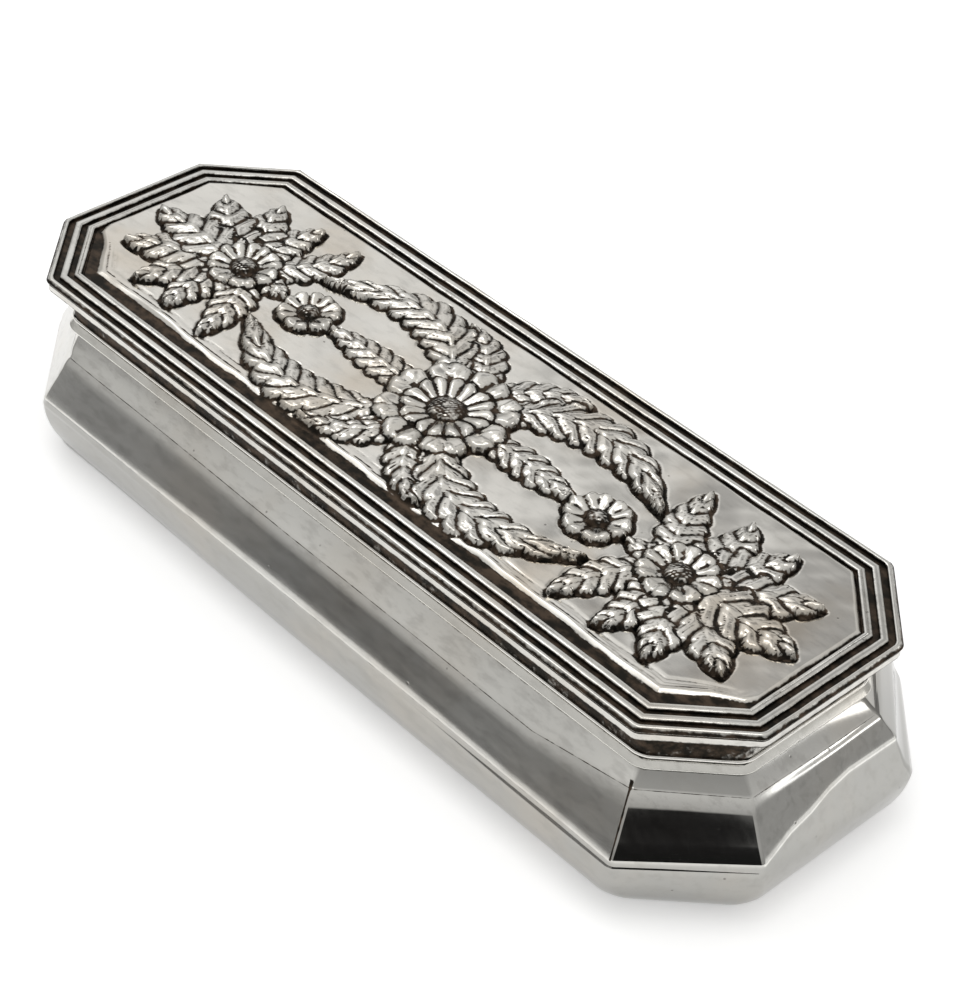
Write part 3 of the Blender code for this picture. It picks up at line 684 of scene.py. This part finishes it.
def blossom(relief, centre, radius, petals, height, turn=0.0, keep=0.3, inner=0.25):
    """Chase one ring of dished petals round a centre."""
    x, y = relief.x - centre[0], relief.y - centre[1]
    near = np.hypot(x, y) < radius * 1.3
    x, y = x[near], y[near]
    reach = np.hypot(x, y)
    angle = np.arctan2(y, x) - turn
    petal = np.abs(np.cos(petals * angle / 2))
    notch = np.abs(np.sin(petals * angle / 2))
    rim = radius * (0.80 + 0.20 * petal ** 0.45 - 0.05 * np.exp(-(notch / 0.22) ** 2))
    gap = reach - rim
    share = reach / rim
    cup = 0.40 + 0.60 * step_up(share, 0.35, 0.88) * (1 - 0.35 * step_up(share, 0.9, 1.0))
    edge = step_up(petal * share, 0.0, 0.30)
    dish = 1 - 0.32 * np.exp(-(notch / 0.35) ** 2) * step_up(share, 0.25, 0.6)
    form = height * cup * (0.45 + 0.55 * edge) * dish
    lines = np.abs(np.cos(petals * angle * 3.5))
    form -= 0.05 * (1 - lines) ** 2 * step_up(share, 0.2, 0.4) * (1 - step_up(share, 0.75, 0.95))
    dark = np.clip(1.15 * np.exp(-(petal * reach / 0.55) ** 2), 0, 1)
    dark = np.maximum(dark, 0.4 * (1 - lines) ** 3 * (1 - step_up(share, 0.6, 0.8)))
    dark = np.maximum(dark, 0.7 * np.exp(-((reach - radius * inner) / 0.5) ** 2))
    part = Relief(x, y)
    part.height, part.dark = relief.height[near], relief.dark[near]
    part.lay(gap, form, dark, keep)
    relief.height[near], relief.dark[near] = part.height, part.dark


def button(relief, centre, radius, height, dots=0.62):
    """Raise the round middle of a flower, punched all over with small dots."""
    x, y = relief.x - centre[0], relief.y - centre[1]
    reach = np.hypot(x, y)
    dome = height * np.sqrt(np.clip(1 - (reach / (radius * 1.15)) ** 2, 0, 1))
    row = np.round(reach / dots)
    count = np.maximum(np.round(row * 6.0), 1)
    angle = np.arctan2(y, x)
    spot_angle = np.round(angle / (2 * math.pi) * count) * 2 * math.pi / count
    spot = np.hypot(x - row * dots * np.cos(spot_angle), y - row * dots * np.sin(spot_angle))
    dot = np.exp(-(spot / (dots * 0.30)) ** 2)
    relief.lay(reach - radius, dome + 0.14 * dot, 0.75 * (1 - dot) * step_up(reach, 0, dots), 0.2)


def lid_relief(x, y):
    """Work the whole panel: the same on both sides of the middle, with a slight hand-made unevenness."""
    wobble_x = x + 0.20 * ripple(x, y, 17, 3)
    wobble_y = y + 0.20 * ripple(x, y, 15, 4)
    relief = Relief(np.abs(wobble_x), wobble_y)
    for up in (1, -1):
        leaf(relief, [(1.5, 8 * up), (5, 18 * up), (16, 20.5 * up)], 3.6, 6, 1.3)
        leaf(relief, [(6, 6.5 * up), (20, 24.5 * up), (43.5, 8.5 * up)], 5.4, 9, 1.6)
    leaf(relief, [(9, 0), (20, 1.2), (32, 0)], 3.8, 7, 1.35)
    blossom(relief, (37, 0), 6.2, 6, 1.4, 0.2)
    button(relief, (37, 0), 1.9, 1.4)
    blossom(relief, (0, 0), 13.0, 8, 1.6, 0.0)
    blossom(relief, (0, 0), 8.4, 8, 1.4, math.pi / 8, 0.35)
    button(relief, (0, 0), 3.2, 1.6)
    for up in (1, -1):
        leaf(relief, [(53, 2.5 * up), (46.5, 8 * up), (45, 19.5 * up)], 4.2, 6, 1.4)
    leaf(relief, [(52, 0), (48, 0.6), (43.4, 0)], 2.6, 4, 1.1)
    for angle, length, width in ((92, 19.0, 4.6), (61, 21.0, 5.0), (30, 24.0, 5.3), (0, 25.5, 5.6)):
        for up in (1, -1) if angle else (1,):
            turn = math.radians(angle * up)
            tip = (55.5 + length * math.cos(turn), length * math.sin(turn))
            bend = (55.5 + 0.55 * length * math.cos(turn * 0.82), 0.55 * length * math.sin(turn * 0.82))
            leaf(relief, [(55.5, 0), bend, tip], width, 6, 1.6, 0.12)
    blossom(relief, (55.5, 0), 7.2, 7, 1.45, 0.3, 0.3)
    button(relief, (55.5, 0), 2.4, 1.6)
    return relief.height, np.clip(relief.dark, 0, 1)


raised, dark = lid_relief(sheet_x, sheet_y)
ground = (0.20 * ripple(sheet_x, sheet_y, 26, 11) + 0.09 * ripple(sheet_x, sheet_y, 11, 12)
          + 0.02 * ripple(sheet_x, sheet_y, 4.5, 13))
from_edge = np.minimum(np.minimum(half_x - np.abs(sheet_x), half_y - np.abs(sheet_y)),
                       (half_x + half_y - panel_leg - np.abs(sheet_x) - np.abs(sheet_y)) / math.sqrt(2))
near_side = step_up(-sheet_y, 10, 16)
ledge = 0.15 + 1.95 * near_side + (0.04 + 0.16 * near_side) * ripple(sheet_x, sheet_y, 13, 21)
inward = from_edge - ledge
rolled = np.sin(np.clip((inward + 0.1) / 1.45, 0, 1) * math.pi / 2)
rise = (1 - near_side) * step_up(inward, 0, 0.5) + near_side * rolled
crease_wave = 2.95 + 0.30 * ripple(sheet_x, sheet_y, 16, 23)
second_wave = 1.62 + 0.10 * ripple(sheet_x, sheet_y, 9, 24)
welt = (0.04 * np.exp(-((inward - 1.15) / 0.45) ** 2) - 0.12 * np.exp(-((inward - second_wave) / 0.25) ** 2)
        - 0.14 * np.exp(-((inward - crease_wave) / 0.4) ** 2))
lift = 38.0 - groove_floor - 0.15 + near_side * welt * (1.0 + 0.35 * ripple(sheet_x, sheet_y, 21, 25))
sheet_z = groove_floor + rise * (lift + ground + raised)
# On the near side, two thin dark lines lie in the dips of the welt: partly tarnish in the dips and partly painted
# reflected shade.
painted_fold_shade = 0.6 * np.exp(-((inward - crease_wave) / 0.2) ** 2) * (0.65 + 0.35 * ripple(sheet_x, sheet_y, 19, 26))
painted_fold_shade = np.maximum(painted_fold_shade, 0.8 * np.exp(-((inward - second_wave) / 0.17) ** 2))
dark = np.maximum(dark * rise, near_side * np.clip(painted_fold_shade, 0, 1) * (raised < 0.05))
dark = np.maximum(dark, 1 - step_up(inward, 0.1, 0.40))


def blurred(values, reach):
    """Average of the sheet over a square, for finding hollows."""
    for axis in (0, 1):
        padded = np.concatenate([np.repeat(values.take([0], axis), reach + 1, axis), values,
                                 np.repeat(values.take([-1], axis), reach, axis)], axis)
        total = np.cumsum(padded, axis=axis)
        size = values.shape[axis]
        values = (total.take(range(2 * reach + 1, 2 * reach + 1 + size), axis)
                  - total.take(range(0, size), axis)) / (2 * reach + 1)
    return values


softened = blurred(blurred(sheet_z, 2), 2)
hollow = np.clip((softened - sheet_z) / 0.16 - 0.15, 0, 1)
dark = np.clip(np.maximum(dark, hollow), 0, 1)
places[:, 2] = (sheet_z * mm).ravel()
panel.data.vertices.foreach_set("co", places.ravel())
mark(panel, "tarnish_and_shade", dark)
bpy.ops.object.select_all(action='DESELECT')
bpy.ops.mesh.primitive_grid_add(x_subdivisions=cells_x // back_step, y_subdivisions=cells_y // back_step, size=1)
sheet_back = bpy.context.object
bpy.ops.object.mode_set(mode='EDIT')
bpy.ops.transform.resize(value=(2 * half_x * mm, 2 * half_y * mm, 1))
bpy.ops.mesh.flip_normals()
bpy.ops.object.mode_set(mode='OBJECT')
spots = np.empty(len(sheet_back.data.vertices) * 3)
sheet_back.data.vertices.foreach_get("co", spots)
spots = spots.reshape(-1, 3)
lowest = sheet_z
for axis in (0, 1):
    for shift in (-2, -1, 1, 2):
        lowest = np.minimum(lowest, np.roll(lowest, shift, axis))
back_z = np.minimum(softened - sheet_thickness, lowest - 0.1)
spots[:, 2] = (back_z[::back_step, ::back_step] * mm).ravel()
sheet_back.data.vertices.foreach_set("co", spots.ravel())
back_tarnish = 0.15
mark(sheet_back, "tarnish_and_shade", np.full(len(spots), back_tarnish))
for face_of_sheet in (sheet_back, panel):
    bpy.context.view_layer.objects.active = face_of_sheet
    bpy.ops.object.mode_set(mode='EDIT')
    for side_x, side_y in ((1, 1), (1, -1), (-1, 1), (-1, -1)):
        bpy.ops.mesh.select_all(action='SELECT')
        bpy.ops.mesh.bisect(plane_co=(side_x * half_x * mm, side_y * (half_y - panel_leg) * mm, 0),
                            plane_no=(side_x, side_y, 0), clear_outer=True)
    bpy.ops.object.mode_set(mode='OBJECT')
sheet_back.select_set(True)
panel.select_set(True)
bpy.ops.object.join()
bpy.ops.object.mode_set(mode='EDIT')
bpy.ops.mesh.select_mode(type='EDGE')
bpy.ops.mesh.select_all(action='DESELECT')
bpy.ops.mesh.select_non_manifold()
bpy.ops.mesh.bridge_edge_loops()
settle(panel, "lid", 60)
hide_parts("lid_cover")
panel_tree, panel_wear = silver_material(panel, (0.685, 0.665, 0.62, 1), Stain=0.7, Polish=0.16, Waviness=0.03,
                                         Scratches=0.003, Pits=0.6)
link(panel_tree, as_marked(panel_tree, "tarnish_and_shade"), panel_wear.inputs['Tarnish and shade'])

# Hinge.
# Five short tubes on one wire, seated in two hollowed strips that are soldered to the body and the lid.
for name in ("body_hinge_bearer", "lid_hinge_bearer", "hinge_pin", "body_knuckle_left", "body_knuckle_middle",
             "body_knuckle_right", "lid_knuckle_left", "lid_knuckle_right"):
    silver_material(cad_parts[name], (0.62, 0.60, 0.56, 1), Stain=0.5, Polish=0.24, Scratches=0.004)

# Floor, light and camera.
# A pale sheet of paper under the box, a plain room that the silver mirrors, and three soft lamps.
bpy.ops.object.select_all(action='DESELECT')
bpy.ops.mesh.primitive_circle_add(vertices=96, radius=3.0, fill_type='NGON', location=(0, 0, 0))
floor = bpy.context.object
floor.name = floor.data.name = "floor"
paper = bpy.data.materials.new("paper")
paper.use_nodes = True
tree = paper.node_tree
shader = tree.nodes['Principled BSDF']
shader.inputs['Base Color'].default_value = (0.93, 0.93, 0.93, 1)
shader.inputs['Roughness'].default_value = 0.9
shader.inputs['Specular IOR Level'].default_value = 0.0
shader.inputs['Emission Color'].default_value = (1, 1, 1, 1)
path = tree.nodes.new('ShaderNodeLightPath')
seen = tree.nodes.new('ShaderNodeMath')
seen.operation = 'ADD'
seen.use_clamp = True
clear = tree.nodes.new('ShaderNodeMath')
clear.operation = 'ADD'
clear.use_clamp = True
lift_up = tree.nodes.new('ShaderNodeMath')
lift_up.operation = 'MULTIPLY'
lift_up.inputs[1].default_value = 0.38
link(tree, path.outputs['Is Camera Ray'], seen.inputs[0], path.outputs['Is Glossy Ray'], seen.inputs[1],
     seen.outputs[0], clear.inputs[0], path.outputs['Is Transmission Ray'], clear.inputs[1],
     clear.outputs[0], lift_up.inputs[0], lift_up.outputs[0], shader.inputs['Emission Strength'])
floor.data.materials.append(paper)

world = bpy.data.worlds.new("studio")
bpy.context.scene.world = world
world.use_nodes = True
tree = world.node_tree
background = tree.nodes['Background']
direction = tree.nodes.new('ShaderNodeTexCoord').outputs['Generated']
apart = tree.nodes.new('ShaderNodeSeparateXYZ')
ramp = tree.nodes.new('ShaderNodeValToRGB')
ramp.color_ramp.interpolation = 'EASE'
points = ramp.color_ramp.elements
for _ in range(3):
    points.new(0.5)
for point, (position, grey) in zip(points, ((0.0, 0.38), (0.12, 0.40), (0.42, 0.62), (0.68, 0.72), (1.0, 0.85))):
    point.position = position
    point.color = (grey, grey * 0.995, grey * 0.98, 1)
link(tree, direction, apart.inputs['Vector'], apart.outputs['Z'], ramp.inputs['Fac'])


def patch_of_room(light, towards, inner, outer, grey):
    """Blend a soft round patch of another brightness in to the room, seen in one direction."""
    aim = tree.nodes.new('ShaderNodeVectorMath')
    aim.operation = 'DOT_PRODUCT'
    aim.inputs[1].default_value = Vector(towards).normalized()
    edge = tree.nodes.new('ShaderNodeMapRange')
    edge.interpolation_type = 'SMOOTHSTEP'
    edge.inputs['From Min'].default_value = math.cos(math.radians(outer))
    edge.inputs['From Max'].default_value = math.cos(math.radians(inner))
    mix = tree.nodes.new('ShaderNodeMix')
    mix.data_type = 'RGBA'
    mix.inputs[7].default_value = (grey, grey, grey, 1)
    link(tree, direction, aim.inputs[0], aim.outputs['Value'], edge.inputs['Value'],
         edge.outputs['Result'], mix.inputs['Factor'], light, mix.inputs[6])
    return mix.outputs[2]


room = ramp.outputs['Color']
for spread_along, grey in ((-0.95, 0.42), (-0.75, 0.28), (-0.55, 0.14), (-0.35, 0.19), (-0.15, 0.26)):
    room = patch_of_room(room, (spread_along, -0.85, -0.015), 3.5, 9, grey)
room = patch_of_room(room, (-0.54, 0.55, 0.63), 12, 30, 0.92)
room = patch_of_room(room, (-0.55, 0.10, 0.83), 10, 26, 1.0)
room = patch_of_room(room, (-0.66, 0.42, 0.64), 3, 13, 1.0)
room = patch_of_room(room, (-0.36, 0.64, 0.67), 3, 13, 0.45)
room = patch_of_room(room, (-0.50, -0.02, 0.86), 12, 18, 1.5)
room = patch_of_room(room, (0.742, -0.658, -0.131), 23.0, 25.2, 0.015)
link(tree, room, background.inputs['Color'])
background.inputs['Strength'].default_value = 1.0


def soft_lamp(name, towards, away, size, brightness):
    """Add a flat soft lamp that faces the box from one direction."""
    lamp = bpy.data.lights.new(name, 'AREA')
    lamp.shape = 'RECTANGLE'
    lamp.size, lamp.size_y = size
    lamp.energy = brightness * math.pi * size[0] * size[1]
    holder = bpy.data.objects.new(name, lamp)
    bpy.context.collection.objects.link(holder)
    holder.location = Vector(towards).normalized() * away
    holder.rotation_euler = Vector(towards).to_track_quat('Z', 'Y').to_euler()
    return holder


soft_lamp("ceiling_lamp", (0.05, -0.05, 1.0), 1.6, (0.7, 0.7), 1.6)
soft_lamp("left_lamp", (-0.55, 0.10, 0.83), 1.5, (0.35, 0.45), 1.5)
soft_lamp("right_lamp", (0.70, 0.655, 0.31), 1.5, (0.40, 0.20), 2.6)

azimuth, elevation, roll = (math.radians(angle) for angle in (44.78, 39.45, 3.84))
away = Vector((math.sin(azimuth) * math.cos(elevation), -math.cos(azimuth) * math.cos(elevation),
               math.sin(elevation)))
camera_data = bpy.data.cameras.new("camera")
camera_data.lens = 92.505
camera_data.sensor_width = 36.0
camera_data.clip_start = 0.01
camera = bpy.data.objects.new("camera", camera_data)
bpy.context.collection.objects.link(camera)
aimed_at = Vector((22.06, -10.50, 38.0)) * mm
camera_distance = 0.42504
camera.location = aimed_at + away * camera_distance
camera.rotation_euler = (away.to_track_quat('Z', 'Y').to_matrix() @ Matrix.Rotation(roll, 3, 'Z')).to_euler()
bpy.context.scene.camera = camera
bpy.context.scene.view_settings.view_transform = 'Standard'
